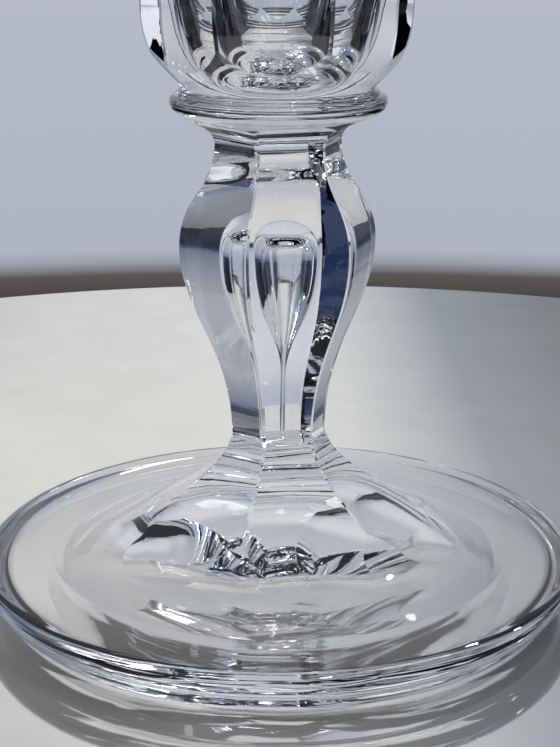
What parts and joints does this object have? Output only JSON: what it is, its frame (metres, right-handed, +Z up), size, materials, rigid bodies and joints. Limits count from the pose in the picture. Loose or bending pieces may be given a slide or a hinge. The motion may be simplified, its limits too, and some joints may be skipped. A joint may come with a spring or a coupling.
{
  "type": "drinking glass",
  "caption": "Tall footed drinking glass in cut clear crystal: petal-cut round foot, faceted stem with a drop-shaped air tear, ring collar and panel-cut bowl",
  "frame": {"origin": "middle of the ring under the foot that the glass rests on, at the height of the table", "axes": "+Z up along the glass from foot to lip, -Y towards the front, square to one flat of the six-sided stem, +X to the right"},
  "size_m": [0.075, 0.075, 0.178],
  "materials": {
    "crystal": "clear colourless crystal, cut and polished"
  },
  "bodies": {
    "root": {"foot": "crystal", "stem": "crystal", "collar": "crystal", "bowl": "crystal"}
  },
  "joints": []
}
